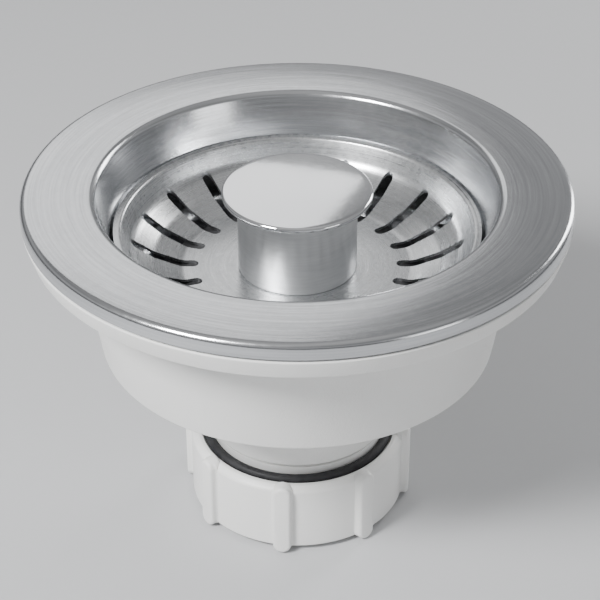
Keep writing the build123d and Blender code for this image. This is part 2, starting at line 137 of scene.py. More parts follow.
# Sides of a full turn on wide, slim and tiny pieces
SEGMENTS, SLIM_SEGMENTS, TINY_SEGMENTS = 192, 96, 64
ARC_STEP = radians(11)
SHARP_ANGLE = radians(38)
# A ring nearer to the axis than this is a single point.
AXIS_R = 1e-6
# In metres: points nearer than the first are joined, and edges shorter than the second are dissolved.
MERGE_DISTANCE, SLIVER_LENGTH = 1e-7, 1e-8
# Gaps between pieces: fixed together, passed over one another, and resting apart
FIT, LOOSE_FIT, SEAT_GAP = 0.02, 0.05, 0.3
# How far a cutter stands out of what it cuts
CUT_MARGIN = 1.0
UPRIGHT = Matrix.Rotation(pi / 2, 4, "X")
SLOTS = {row["node"]: row["material_slot"] for row in frame["record"]["subparts"]}


def node_box(node):
    """Lowest and highest corner of a node, in millimetres."""
    low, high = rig.box(node)
    return low / MM, high / MM


# Outlines

def direction(a, b):
    """Unit vector from a to b."""
    length = hypot(b[0] - a[0], b[1] - a[1])
    return (b[0] - a[0]) / length, (b[1] - a[1]) / length


def arc(centre, radius, start, turn, steps):
    """Points of an arc, with both of its ends."""
    angles = [start + turn * k / steps for k in range(steps + 1)]
    return [(centre[0] + radius * cos(a), centre[1] + radius * sin(a)) for a in angles]


def corner_arc(before, corner, after, arc_step):
    """Arc that rounds a corner (r, z, radius) between its two neighbours."""
    r, z, radius = corner
    back = direction(corner, before)
    ahead = direction(corner, after)
    cosine = max(-1.0, min(1.0, back[0] * ahead[0] + back[1] * ahead[1]))
    half = acos(cosine) / 2
    middle = direction((0, 0), (back[0] + ahead[0], back[1] + ahead[1]))
    centre = (r + middle[0] * radius / sin(half), z + middle[1] * radius / sin(half))
    tangent = radius / tan(half)
    start = (r + back[0] * tangent, z + back[1] * tangent)
    stop = (r + ahead[0] * tangent, z + ahead[1] * tangent)
    first = atan2(start[1] - centre[1], start[0] - centre[0])
    last = atan2(stop[1] - centre[1], stop[0] - centre[0])
    turn = (last - first + pi) % (2 * pi) - pi
    return arc(centre, radius, first, turn, max(2, ceil(abs(turn) / arc_step)))


def rounded(corners, closed=True, arc_step=ARC_STEP):
    """Outline through corners (r, z) or (r, z, radius), with an arc at each corner that has a radius."""
    outline = []
    count = len(corners)
    for i, corner in enumerate(corners):
        is_end = not closed and i in (0, count - 1)
        if len(corner) == 2 or is_end:
            outline.append(corner[:2])
        else:
            outline += corner_arc(corners[i - 1], corner, corners[(i + 1) % count], arc_step)
    return outline


def sheet(corners, thickness, arc_step=ARC_STEP):
    """Both faces of a bent sheet: the drawn line, and the line to its left at the sheet's thickness."""
    drawn = rounded(corners, closed=False, arc_step=arc_step)
    other = []
    for i, (r, z) in enumerate(drawn):
        along_r, along_z = direction(drawn[max(i - 1, 0)], drawn[min(i + 1, len(drawn) - 1)])
        other.append((r - along_z * thickness, z + along_r * thickness))
    return drawn, other


def rectangle(length, width):
    """Outline of a rectangle about the origin."""
    x, y = length / 2, width / 2
    return [(-x, -y), (x, -y), (x, y), (-x, y)]


def kidney(mid_r, width, span, steps=16):
    """Outline of an opening that follows a circle and has round ends."""
    half, edge = width / 2, span / 2
    end_x, end_y = mid_r * cos(edge), mid_r * sin(edge)
    outer_side = arc((0, 0), mid_r + half, -edge, span, steps)
    inner_side = arc((0, 0), mid_r - half, edge, -span, steps)
    one_end = arc((end_x, end_y), half, edge, pi, steps)[1:-1]
    other_end = arc((end_x, -end_y), half, pi - edge, pi, steps)[1:-1]
    return outer_side + one_end + inner_side + other_end


# Meshes

def ring(mesh, r, z, segments):
    """One ring of vertices at radius r and height z, or a single vertex on the axis."""
    if r < AXIS_R:
        return [mesh.verts.new((0, 0, z * MM))]
    angles = [2 * pi * i / segments for i in range(segments)]
    return [mesh.verts.new((r * cos(a) * MM, r * sin(a) * MM, z * MM)) for a in angles]


def join_rings(mesh, one, two):
    """Faces between two neighbouring rings of a turned form."""
    if len(one) == 1 and len(two) == 1:
        return
    count = max(len(one), len(two))
    for i in range(count):
        k = (i + 1) % count
        if len(one) == 1:
            mesh.faces.new((one[0], two[k], two[i]))
        elif len(two) == 1:
            mesh.faces.new((one[i], one[k], two[0]))
        else:
            mesh.faces.new((one[i], one[k], two[k], two[i]))


def turned(mesh, outline, segments=SEGMENTS, closed=True):
    """Adds the form that an outline makes when it turns about the Z axis."""
    rings = [ring(mesh, r, z, segments) for r, z in outline]
    for one, two in zip(rings, rings[1:]):
        join_rings(mesh, one, two)
    if closed:
        join_rings(mesh, rings[-1], rings[0])


def prism(mesh, outline, low, high, place=Matrix.Identity(4)):
    """A closed outline (x, y) raised from low to high, then put in place."""
    floor = [mesh.verts.new(place @ Vector((x * MM, y * MM, low * MM))) for x, y in outline]
    top = [mesh.verts.new(place @ Vector((x * MM, y * MM, high * MM))) for x, y in outline]
    mesh.faces.new(floor)
    mesh.faces.new(top)
    for i in range(len(outline)):
        k = (i + 1) % len(outline)
        mesh.faces.new((floor[i], floor[k], top[k], top[i]))


def about_z(angle):
    return Matrix.Rotation(angle, 4, "Z")


def shade(data):
    """Smooth shading, with the sharp edges kept."""
    data.shade_smooth()
    data.set_sharp_from_angle(angle=SHARP_ANGLE)


def finished(name, mesh):
    """Object from a bmesh, with its normals outwards."""
    bmesh.ops.remove_doubles(mesh, verts=mesh.verts, dist=MERGE_DISTANCE)
    bmesh.ops.dissolve_degenerate(mesh, edges=mesh.edges, dist=SLIVER_LENGTH)
    bmesh.ops.recalc_face_normals(mesh, faces=mesh.faces)
    data = bpy.data.meshes.new(name)
    mesh.to_mesh(data)
    mesh.free()
    shade(data)
    piece = bpy.data.objects.new(name, data)
    bpy.context.scene.collection.objects.link(piece)
    return piece


def cut(piece, cutter):
    """Takes the cutter out of the piece and deletes it."""
    tool = piece.modifiers.new("cut", "BOOLEAN")
    tool.operation = "DIFFERENCE"
    tool.solver = "EXACT"
    tool.object = cutter
    graph = bpy.context.evaluated_depsgraph_get()
    data = bpy.data.meshes.new_from_object(piece.evaluated_get(graph))
    piece.modifiers.clear()
    piece.data = data
    shade(data)
    bpy.data.objects.remove(cutter)


def lathe(name, corners, segments=SEGMENTS):
    """A turned piece from a closed outline of corners."""
    mesh = bmesh.new()
    turned(mesh, rounded(corners), segments)
    return finished(name, mesh)


def dress(piece, node, material):
    """The piece stands for the node, rides on its body and takes its slot."""
    piece.data.materials.clear()
    piece.data.materials.append(material)
    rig.ride(piece, frame["nodes"][node]["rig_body"])
    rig.replaces(piece, node)
    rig.slot(piece, SLOTS[node])


def turned_piece(node, corners, material, segments=SEGMENTS):
    """A turned piece that stands for a node."""
    dress(lathe(f"{node}_skin", corners, segments), node, material)


def flat_ring(node, bore, material, bore_edge, outer_edge, segments=SEGMENTS):
    """A flat ring in a node's place, with a small radius on the edges of its bore and of its outside."""
    low, high = node_box(node)
    turned_piece(node, [
        (bore, low.z, bore_edge),
        (high.x, low.z, outer_edge),
        (high.x, high.z, outer_edge),
        (bore, high.z, bore_edge),
    ], material, segments)


def round_ring(node, r, z, radius, material, steps=24):
    """A ring of round section in a node's place."""
    mesh = bmesh.new()
    turned(mesh, arc((r, z), radius, 0, 2 * pi, steps)[:-1])
    dress(finished(f"{node}_skin", mesh), node, material)


# Materials. Scales of noise are in spans a metre, and bumps are in metres.
MICRON = 0.000001
# Most of a noise lies between these two values.
NOISE_LOW, NOISE_HIGH = 0.3, 0.7
# Sockets of a Mix node that mixes colours
COLOUR_ONE, COLOUR_TWO, COLOUR_RESULT = 6, 7, 2


def new_material(name, colour, metallic, roughness):
    material = bpy.data.materials.new(name)
    material.use_nodes = True
    shader = material.node_tree.nodes["Principled BSDF"]
    shader.inputs["Base Color"].default_value = (*colour, 1)
    shader.inputs["Metallic"].default_value = metallic
    shader.inputs["Roughness"].default_value = roughness
    return material, shader


def add(tree, kind, **values):
    """A node with some of its inputs or settings filled in."""
    node = tree.nodes.new(kind)
    for key, value in values.items():
        if hasattr(node, key):
            setattr(node, key, value)
        else:
            node.inputs[key.replace("_", " ")].default_value = value
    return node


def math_node(tree, operation, one, two=None):
    """Result of a sum on sockets or plain numbers."""
    node = add(tree, "ShaderNodeMath", operation=operation)
    for i, value in enumerate((one, two)):
        if value is None:
            continue
        if isinstance(value, (int, float)):
            node.inputs[i].default_value = value
        else:
            tree.links.new(value, node.inputs[i])
    return node.outputs[0]


def object_point(tree):
    return tree.nodes.new("ShaderNodeTexCoord").outputs["Object"]


def noise(tree, scale, detail=3.0):
    node = add(tree, "ShaderNodeTexNoise", Scale=scale, Detail=detail)
    tree.links.new(object_point(tree), node.inputs["Vector"])
    return node.outputs["Fac"]


def round_noise(tree, across, along, detail):
    """Noise in marks that run round the axis.

    across is how many marks there are in a metre, and along is how fast they change on their way round.
    """
    parts = tree.nodes.new("ShaderNodeSeparateXYZ")
    tree.links.new(object_point(tree), parts.inputs[0])
    x, y, z = parts.outputs
    square = math_node(tree, "ADD", math_node(tree, "MULTIPLY", x, x), math_node(tree, "MULTIPLY", y, y))
    radius = math_node(tree, "SQRT", square)
    joined = tree.nodes.new("ShaderNodeCombineXYZ")
    tree.links.new(math_node(tree, "MULTIPLY", radius, across), joined.inputs[0])
    for i, side in ((1, x), (2, y)):
        part = math_node(tree, "DIVIDE", side, radius)
        tree.links.new(math_node(tree, "MULTIPLY", part, along), joined.inputs[i])
    node = add(tree, "ShaderNodeTexNoise", noise_dimensions="4D", Scale=1.0, Detail=detail)
    tree.links.new(joined.outputs[0], node.inputs["Vector"])
    tree.links.new(math_node(tree, "MULTIPLY", z, across), node.inputs["W"])
    return node.outputs["Fac"]


def spread(tree, value, low, high):
    """Maps a noise value about the middle to a range."""
    node = tree.nodes.new("ShaderNodeMapRange")
    node.inputs["From Min"].default_value = NOISE_LOW
    node.inputs["From Max"].default_value = NOISE_HIGH
    node.inputs["To Min"].default_value = low
    node.inputs["To Max"].default_value = high
    tree.links.new(value, node.inputs["Value"])
    return node.outputs["Result"]


def bump(tree, shader, heights):
    """Chains bumps: each height is (value, distance in metres)."""
    last = None
    for value, distance in heights:
        node = add(tree, "ShaderNodeBump", Strength=1.0, Distance=distance)
        tree.links.new(value, node.inputs["Height"])
        if last:
            tree.links.new(last, node.inputs["Normal"])
        last = node.outputs["Normal"]
    tree.links.new(last, shader.inputs["Normal"])


def tinted(tree, shader, value, one, two):
    """Colour that drifts between two near shades."""
    mix = add(tree, "ShaderNodeMix", data_type="RGBA")
    mix.inputs[COLOUR_ONE].default_value = (*one, 1)
    mix.inputs[COLOUR_TWO].default_value = (*two, 1)
    tree.links.new(value, mix.inputs[0])
    tree.links.new(mix.outputs[COLOUR_RESULT], shader.inputs["Base Color"])


def steel(name, shades, roughness, brushing, ripple):
    """Stainless sheet, brushed round the axis in fine marks and broad strokes, with a faint ripple."""
    material, shader = new_material(name, shades[0], 1.0, roughness[0])
    tree = material.node_tree
    marks = round_noise(tree, across=9000, along=1.5, detail=4.0)
    strokes = round_noise(tree, across=1900, along=2.2, detail=3.0)
    clouds = noise(tree, scale=45)
    fine = noise(tree, scale=700)
    tinted(tree, shader, spread(tree, strokes, 0, 1), *shades)
    rough = math_node(tree, "ADD", spread(tree, marks, *roughness), spread(tree, fine, -0.02, 0.02))
    tree.links.new(rough, shader.inputs["Roughness"])
    bump(tree, shader, [(clouds, ripple), (strokes, brushing), (marks, brushing)])
    return material


def chrome(name):
    """Bright plating with a faint haze and water spots too fine to see singly."""
    material, shader = new_material(name, (0.83, 0.84, 0.855), 1.0, 0.06)
    tree = material.node_tree
    clouds = noise(tree, scale=60)
    fine = noise(tree, scale=1400)
    tinted(tree, shader, spread(tree, clouds, 0, 1), (0.84, 0.85, 0.865), (0.8, 0.81, 0.825))
    rough = math_node(tree, "ADD", spread(tree, clouds, 0.05, 0.09), spread(tree, fine, -0.01, 0.02))
    tree.links.new(rough, shader.inputs["Roughness"])
    bump(tree, shader, [(clouds, 40 * MICRON)])
    return material


def plastic(name, shades, roughness, grain):
    """White moulded polypropylene: a waxy sheen over a fine spark-eroded grain."""
    material, shader = new_material(name, shades[0], 0.0, roughness[0])
    shader.inputs["Subsurface Weight"].default_value = 0.06
    shader.inputs["Subsurface Radius"].default_value = (0.0016, 0.0014, 0.0012)
    shader.inputs["Specular IOR Level"].default_value = 0.45
    tree = material.node_tree
    clouds = noise(tree, scale=38)
    flow = round_noise(tree, across=200, along=2.0, detail=3.0)
    pits = noise(tree, scale=2600, detail=2.0)
    tinted(tree, shader, spread(tree, clouds, 0, 1), *shades)
    tree.links.new(spread(tree, flow, *roughness), shader.inputs["Roughness"])
    bump(tree, shader, [(clouds, 60 * MICRON), (pits, grain)])
    return material


def rubber(name):
    """Black moulded rubber with a dull, slightly dusty surface."""
    material, shader = new_material(name, (0.022, 0.022, 0.024), 0.0, 0.6)
    shader.inputs["Specular IOR Level"].default_value = 0.35
    tree = material.node_tree
    dust = noise(tree, scale=420, detail=4.0)
    skin = noise(tree, scale=1900, detail=2.0)
    tinted(tree, shader, spread(tree, dust, 0, 1), (0.016, 0.016, 0.018), (0.038, 0.038, 0.04))
    tree.links.new(spread(tree, dust, 0.5, 0.72), shader.inputs["Roughness"])
    bump(tree, shader, [(dust, 30 * MICRON), (skin, 20 * MICRON)])
    return material


def turned_metal(name, shades, roughness):
    """Machined metal with tool marks round the axis."""
    material, shader = new_material(name, shades[0], 1.0, roughness[0])
    tree = material.node_tree
    marks = round_noise(tree, across=5200, along=0.6, detail=2.0)
    clouds = noise(tree, scale=90)
    tinted(tree, shader, spread(tree, clouds, 0, 1), *shades)
    tree.links.new(spread(tree, marks, *roughness), shader.inputs["Roughness"])
    bump(tree, shader, [(marks, 20 * MICRON)])
    return material


cup_steel = steel(
    "cup_steel",
    shades=((0.66, 0.67, 0.685), (0.52, 0.53, 0.545)),
    roughness=(0.15, 0.24),
    brushing=8 * MICRON,
    ripple=20 * MICRON,
)
basket_steel = steel(
    "basket_steel",
    shades=((0.66, 0.67, 0.68), (0.57, 0.58, 0.59)),
    roughness=(0.24, 0.32),
    brushing=6 * MICRON,
    ripple=10 * MICRON,
)
post_satin = steel(
    "post_satin",
    shades=((0.78, 0.79, 0.8), (0.7, 0.71, 0.72)),
    roughness=(0.3, 0.4),
    brushing=4 * MICRON,
    ripple=10 * MICRON,
)
knob_chrome = chrome("knob_chrome")
body_white = plastic(
    "body_white",
    shades=((0.84, 0.84, 0.825), (0.8, 0.8, 0.785)),
    roughness=(0.34, 0.46),
    grain=40 * MICRON,
)
nut_white = plastic(
    "nut_white",
    shades=((0.86, 0.86, 0.845), (0.82, 0.82, 0.805)),
    roughness=(0.3, 0.42),
    grain=30 * MICRON,
)
stem_white = plastic(
    "stem_white",
    shades=((0.78, 0.78, 0.75), (0.73, 0.73, 0.7)),
    roughness=(0.28, 0.4),
    grain=10 * MICRON,
)
black_rubber = rubber("black_rubber")
screw_metal = turned_metal(
    "screw_metal",
    shades=((0.58, 0.59, 0.6), (0.5, 0.51, 0.52)),
    roughness=(0.22, 0.36),
)
brass = turned_metal(
    "brass",
    shades=((0.72, 0.53, 0.25), (0.64, 0.45, 0.2)),
    roughness=(0.2, 0.34),
)

MATERIALS = {
    "steel": cup_steel,
    "basket_steel": basket_steel,
    "screw_steel": screw_metal,
    "knob_chrome": knob_chrome,
    "body_plastic": body_white,
    "nut_plastic": nut_white,
    "stem_plastic": stem_white,
    "seal_rubber": black_rubber,
    "insert_brass": brass,
}


def paint_nodes():
    """Every CAD node gets the material of its slot."""
    for node, shape in frame["nodes"].items():
        shape.data.materials.clear()
        shape.data.materials.append(MATERIALS[SLOTS[node]])


# Steel cup
cup_low, cup_high = node_box("flange_cup")
CUP_SHEET = 0.8
FLANGE_R, FLANGE_TOP, FLANGE_BEND = cup_high.x, cup_high.z, 1.3
MOUTH_R, MOUTH_BEND = 41.9, 1.6
LEDGE_R, LEDGE_TOP, LEDGE_DROP, LEDGE_WIDTH, LEDGE_BEND = 38.8, -6.35, 0.6, 1.4, 0.9
CUP_FOOT_R, CUP_FOOT_BEND, SHOULDER = 36.4, 4.0, -20.5
SUMP_R, SUMP_TAPER, SUMP_BEND, SUMP_FLOOR = 24.6, 0.7, 1.4, cup_low.z + CUP_SHEET
BOLT_HOLE_R = 7.4
DRAINS, DRAIN_MID_R, DRAIN_WIDTH, DRAIN_WEB = 4, 16.5, 8.0, 5.2


def build_cup():
    """Pressed cup with its flange, mouth, ledge and sump, and the drain openings in the sump's floor."""
    upper, lower = sheet([
        (FLANGE_R, 0),
        (FLANGE_R, FLANGE_TOP, FLANGE_BEND),
        (MOUTH_R, FLANGE_TOP, MOUTH_BEND),
        (LEDGE_R, LEDGE_TOP, LEDGE_BEND),
        (LEDGE_R - LEDGE_WIDTH, LEDGE_TOP - LEDGE_DROP, LEDGE_BEND),
        (CUP_FOOT_R, SHOULDER, CUP_FOOT_BEND),
        (SUMP_R, SHOULDER, SUMP_BEND),
        (SUMP_R - SUMP_TAPER, SUMP_FLOOR, SUMP_BEND),
        (BOLT_HOLE_R, SUMP_FLOOR),
    ], CUP_SHEET)
    mesh = bmesh.new()
    turned(mesh, upper + lower[::-1])
    cup = finished("flange_cup_skin", mesh)
    span = 2 * pi / DRAINS - (DRAIN_WIDTH + DRAIN_WEB) / DRAIN_MID_R
    drain = kidney(DRAIN_MID_R, DRAIN_WIDTH, span)
    drains = bmesh.new()
    for k in range(DRAINS):
        turn = about_z(2 * pi * k / DRAINS)
        prism(drains, drain, SUMP_FLOOR - 2 * CUP_SHEET, SUMP_FLOOR + CUP_SHEET, turn)
    cut(cup, finished("drain_cutter", drains))
    dress(cup, "flange_cup", cup_steel)


# Strainer basket
basket_low, basket_high = node_box("basket")
BASKET_SHEET = 0.6
LIP_R, LIP_TOP, LIP_WIDTH, LIP_BEND = basket_high.x, basket_high.z, 1.5, 0.8
DISH_BEND = 5.0
WALL_FOOT_R, WALL_FOOT = 34.6, -10.4
HEEL_R, HEEL = 30.2, -13.3
BASKET_FLOOR_R, BASKET_FLOOR = 24.5, basket_low.z + BASKET_SHEET
FIXING_HOLE_R = 2.6
STRAINER_SLOTS, SLOT_FIRST_ANGLE = 20, pi / 2
SLOT_OUTER_R, SLOT_INNER_R, SLOT_HALF = 35.05, 20.9, 1.2
# Steps of the mesh over half a slot, over half a web and round a slot's end
SLOT_COLUMNS, WEB_COLUMNS, END_ROWS = 5, 4, 8
# Rows bend round a slot's end until this far beyond it, and open rows keep this far from the first of them.
END_MARGIN, END_GAP = 0.9, 0.3
BASKET_ARC_STEP, TRUE_ARC_STEP = radians(3), radians(0.75)
# Slopes are read over twice this step, and a normal further from its face than this angle is left alone.
SLOPE_STEP, FACE_ANGLE = 0.06, radians(25)


def height_at(line, r):
    """Height of a sheet's face at radius r, by straight steps between its points."""
    for (r0, z0), (r1, z1) in zip(line, line[1:]):
        if r1 <= r <= r0:
            return z0 if r0 == r1 else z0 + (z1 - z0) * (r0 - r) / (r0 - r1)
    return line[-1][1] if r < line[-1][0] else line[0][1]


def sector_columns():
    """Columns across one sector of the basket, from one web's middle to the next: -1 to 1 is the slot."""
    slot = [sin(pi / 2 * k / SLOT_COLUMNS) for k in range(-SLOT_COLUMNS, SLOT_COLUMNS + 1)]
    web = [1 + k / WEB_COLUMNS for k in range(1, WEB_COLUMNS + 1)]
    return [-w for w in web[::-1]][1:] + slot + web


def column_angle(column, r):
    """Angle from the slot's middle line.

    Slot columns stay parallel to that line down to the slots' ends, and fan in below them.
    """
    width_r = max(r, SLOT_INNER_R - END_MARGIN)
    edge = asin(SLOT_HALF / width_r)
    if abs(column) <= 1:
        return asin(column * SLOT_HALF / width_r)
    angle = edge + (pi / STRAINER_SLOTS - edge) * (abs(column) - 1)
    return angle if column > 0 else -angle


def basket_rows(line):
    """Rows from the lip inwards: (radius, how far the slot's columns bend here, is open in the slots)."""
    outer_end, inner_end = SLOT_OUTER_R - SLOT_HALF, SLOT_INNER_R + SLOT_HALF
    reach = SLOT_HALF + END_MARGIN
    ends = [(reach * k / END_ROWS, 1 - k / END_ROWS) for k in range(END_ROWS + 1)]
    rows = [(r, 0, False) for r, _ in line if r > SLOT_OUTER_R + END_MARGIN]
    rows += [(outer_end + step, bend, False) for step, bend in ends[::-1]]
    rows += [(r, 0, True) for r, _ in line if inner_end + END_GAP < r < outer_end - END_GAP]
    rows += [(inner_end - step, -bend, False) for step, bend in ends]
    rows += [(r, 0, False) for r, _ in line if r < SLOT_INNER_R - END_MARGIN]
    return rows


def basket_points(mesh, rows, columns, upper, lower):
    """Vertices by (face, row, column round the dish), where face 0 is the upper and 1 the lower one."""
    grid = {}
    for j, (row_r, bend, is_open) in enumerate(rows):
        for sector in range(STRAINER_SLOTS):
            middle = SLOT_FIRST_ANGLE + 2 * pi * sector / STRAINER_SLOTS
            for c, column in enumerate(columns):
                in_slot = abs(column) < 1
                if is_open and in_slot:
                    continue
                r = row_r + bend * SLOT_HALF * sqrt(1 - column * column) if in_slot else row_r
                angle = middle + column_angle(column, r)
                x, y = r * cos(angle) * MM, r * sin(angle) * MM
                i = sector * len(columns) + c
                grid[0, j, i] = mesh.verts.new((x, y, height_at(upper, r) * MM))
                grid[1, j, i] = mesh.verts.new((x, y, height_at(lower, r) * MM))
    return grid


def basket_faces(mesh, grid, rows, columns):
    """Faces of both sides of the dish, with the slots left open."""
    total = STRAINER_SLOTS * len(columns)
    for j in range(len(rows) - 1):
        for i in range(total):
            k = (i + 1) % total
            column, following = columns[i % len(columns)], columns[k % len(columns)]
            in_slot = abs(column) <= 1 and abs(following) <= 1 and column < following
            if in_slot and (rows[j][2] or rows[j + 1][2]):
                continue
            for face in (0, 1):
                near = (grid[face, j, i], grid[face, j, k])
                far = (grid[face, j + 1, k], grid[face, j + 1, i])
                mesh.faces.new(near + far)


def basket_walls(mesh, grid):
    """Joins the open edges of the upper face to the same edges of the lower face."""
    mate = {vert: grid[1, j, i] for (face, j, i), vert in grid.items() if face == 0}
    open_edges = [edge for edge in mesh.edges if len(edge.link_faces) == 1]
    for edge in open_edges:
        one, two = edge.verts
        if one in mate and two in mate:
            mesh.faces.new((one, two, mate[two], mate[one]))


def smooth_dish(data, upper, lower):
    """Gives the dish's faces the normals of the drawn line, so that the rows round the slots don't show."""
    slopes = {}
    normals = [corner.vector.copy() for corner in data.corner_normals]
    for face in data.polygons:
        side = 1 if face.normal.z > 0 else -1
        line = upper if side > 0 else lower
        for loop in face.loop_indices:
            x, y, _ = data.vertices[data.loops[loop].vertex_index].co / MM
            r = hypot(x, y)
            key = (side, round(r, 3))
            if key not in slopes:
                rise = height_at(line, r + SLOPE_STEP) - height_at(line, r - SLOPE_STEP)
                slopes[key] = rise / (2 * SLOPE_STEP)
            normal = side * Vector((-slopes[key] * x / r, -slopes[key] * y / r, 1)).normalized()
            if normal.dot(face.normal) > cos(FACE_ANGLE):
                normals[loop] = normal
    data.normals_split_custom_set(normals)


def build_basket():
    """Pressed dish with its ring of slots."""
    profile = [
        (LIP_R, LIP_TOP),
        (LIP_R - LIP_WIDTH, LIP_TOP, LIP_BEND),
        (WALL_FOOT_R, WALL_FOOT, DISH_BEND),
        (HEEL_R, HEEL, DISH_BEND),
        (BASKET_FLOOR_R, BASKET_FLOOR, DISH_BEND),
        (FIXING_HOLE_R, BASKET_FLOOR),
    ]
    rows = basket_rows(rounded(profile, closed=False, arc_step=BASKET_ARC_STEP))
    upper, lower = sheet(profile, BASKET_SHEET, TRUE_ARC_STEP)
    columns = sector_columns()
    mesh = bmesh.new()
    grid = basket_points(mesh, rows, columns, upper, lower)
    basket_faces(mesh, grid, rows, columns)
    basket_walls(mesh, grid)
    piece = finished("basket_skin", mesh)
    smooth_dish(piece.data, upper, lower)
    dress(piece, "basket", basket_steel)


# Knob
_, post_high = node_box("knob_post")
_, cap_high = node_box("knob_cap")
POST_R, POST_WALL, POST_FLOOR = post_high.x, 1.4, 2.0
POST_INNER_R = POST_R - POST_WALL
BOSS_R, BOSS_HEIGHT = 4.6, 11.5
CAP_R, CAP_TOP, CAP_THICKNESS = cap_high.x, cap_high.z, 1.5
CAP_UNDER = CAP_TOP - CAP_THICKNESS
CAP_SKIRT, CAP_SKIRT_WALL = 4.0, 1.4
CROWN_DROP, CROWN_STEPS = 0.35, 12
FIXING_R = 2.5


def build_post():
    """Hollow post with a boss inside for the fixing screw."""
    bore_r = FIXING_R + LOOSE_FIT
    turned_piece("knob_post", [
        (bore_r, BASKET_FLOOR),
        (POST_R, BASKET_FLOOR, 0.4),
        (POST_R, CAP_UNDER, 0.1),
        (POST_INNER_R, CAP_UNDER, 0.1),
        (POST_INNER_R, BASKET_FLOOR + POST_FLOOR, 0.5),
        (BOSS_R, BASKET_FLOOR + POST_FLOOR, 0.5),
        (BOSS_R, BASKET_FLOOR + BOSS_HEIGHT, 0.3),
        (bore_r, BASKET_FLOOR + BOSS_HEIGHT),
    ], post_satin)


def build_cap():
    """Cap with a low crown, and a skirt that fits into the post."""
    shares = [k / CROWN_STEPS for k in range(CROWN_STEPS)]
    crown = [(CAP_R * share, CAP_TOP - CROWN_DROP * share ** 2) for share in shares]
    skirt_r, skirt_foot = POST_INNER_R - FIT, CAP_UNDER - CAP_SKIRT
    turned_piece("knob_cap", crown + [
        (CAP_R, CAP_TOP - CROWN_DROP, 0.6),
        (CAP_R, CAP_UNDER, 0.5),
        (skirt_r, CAP_UNDER),
        (skirt_r, skirt_foot, 0.4),
        (skirt_r - CAP_SKIRT_WALL, skirt_foot, 0.4),
        (skirt_r - CAP_SKIRT_WALL, CAP_UNDER, 0.2),
        (0, CAP_UNDER),
    ], knob_chrome)


# Seal, plate and stem under the basket
SEAL_R, SEAL_THICKNESS, SEAL_FLAT_R, SEAL_BEND = 28.2, 2.2, 22.5, 1.0
SEAL_LIP_WIDTH, SEAL_LIP_TAPER, SEAL_LIP_EDGE = 1.4, 0.6, 0.35
PLATE_R, PLATE_THICKNESS = 19.5, 1.0
stem_low, stem_high = node_box("stem")
STEM_HEAD_R, STEM_HEAD, STEM_R, STEM_BEND = 8.5, 1.9, 4.7, 0.6
GRIP_Z, GRIP_R, GRIP_SECTION = -30.5, 4.4, 0.9
GRIP_GROOVE, GRIP_GROOVE_EDGE = 2.2, 0.15


def build_basket_seal():
    """Rubber seal with a lip round its edge, and the steel plate that backs it."""
    under = BASKET_FLOOR - BASKET_SHEET
    seal_foot = under - SEAL_THICKNESS
    lip_foot, lip_r = SHOULDER + SEAT_GAP, SEAL_R - SEAL_LIP_TAPER
    turned_piece("basket_seal", [
        (FIXING_HOLE_R, under),
        (SEAL_FLAT_R, under, SEAL_BEND),
        (SEAL_R, seal_foot, SEAL_BEND),
        (lip_r, lip_foot, SEAL_LIP_EDGE),
        (lip_r - SEAL_LIP_WIDTH, lip_foot, SEAL_LIP_EDGE),
        (SEAL_FLAT_R, seal_foot, SEAL_BEND),
        (FIXING_HOLE_R, seal_foot),
    ], black_rubber)
    turned_piece("seal_plate", [
        (FIXING_HOLE_R, seal_foot),
        (PLATE_R, seal_foot, 0.2),
        (PLATE_R, seal_foot - PLATE_THICKNESS, 0.5),
        (FIXING_HOLE_R, seal_foot - PLATE_THICKNESS),
    ], basket_steel)


def build_stem():
    """Spindle under the basket, with the ring in its groove that grips the clamp screw."""
    head_foot = stem_high.z - STEM_HEAD
    groove_r = GRIP_R - GRIP_SECTION - LOOSE_FIT
    groove_top, groove_foot = GRIP_Z + GRIP_GROOVE / 2, GRIP_Z - GRIP_GROOVE / 2
    turned_piece("stem", [
        (FIXING_HOLE_R, stem_high.z),
        (STEM_HEAD_R, stem_high.z, 0.3),
        (STEM_HEAD_R, head_foot, 0.3),
        (STEM_R, head_foot, STEM_BEND),
        (STEM_R, groove_top, GRIP_GROOVE_EDGE),
        (groove_r, groove_top, GRIP_GROOVE_EDGE),
        (groove_r, groove_foot, GRIP_GROOVE_EDGE),
        (STEM_R, groove_foot, GRIP_GROOVE_EDGE),
        (STEM_R, stem_low.z, STEM_BEND),
        (FIXING_HOLE_R, stem_low.z),
    ], stem_white, SLIM_SEGMENTS)
    round_ring("grip_ring", GRIP_R, GRIP_Z, GRIP_SECTION, black_rubber)


# Outlet thread, right-handed, which the body's spigot and the nut share
PITCH, THREAD_DEPTH, THREAD_R = 2.309, 1.479, 20.955
THREAD_CLEARANCE = 0.12
THREAD_ROWS = 8
THREAD_DATUM = -70.0
RUN_OUT = 1.1


def thread_radius(root_r, depth, row, z, foot, top):
    """Radius of a thread's row at height z: a wave over each pitch, which fades out at both ends."""
    near_end = min(1.0, (z - foot) / RUN_OUT, (top - z) / RUN_OUT)
    fade = near_end * near_end * (3 - 2 * near_end)
    crest = 0.5 - 0.5 * cos(2 * pi * row / THREAD_ROWS)
    form = crest if depth > 0 else 1 - crest
    return root_r + depth * form * fade


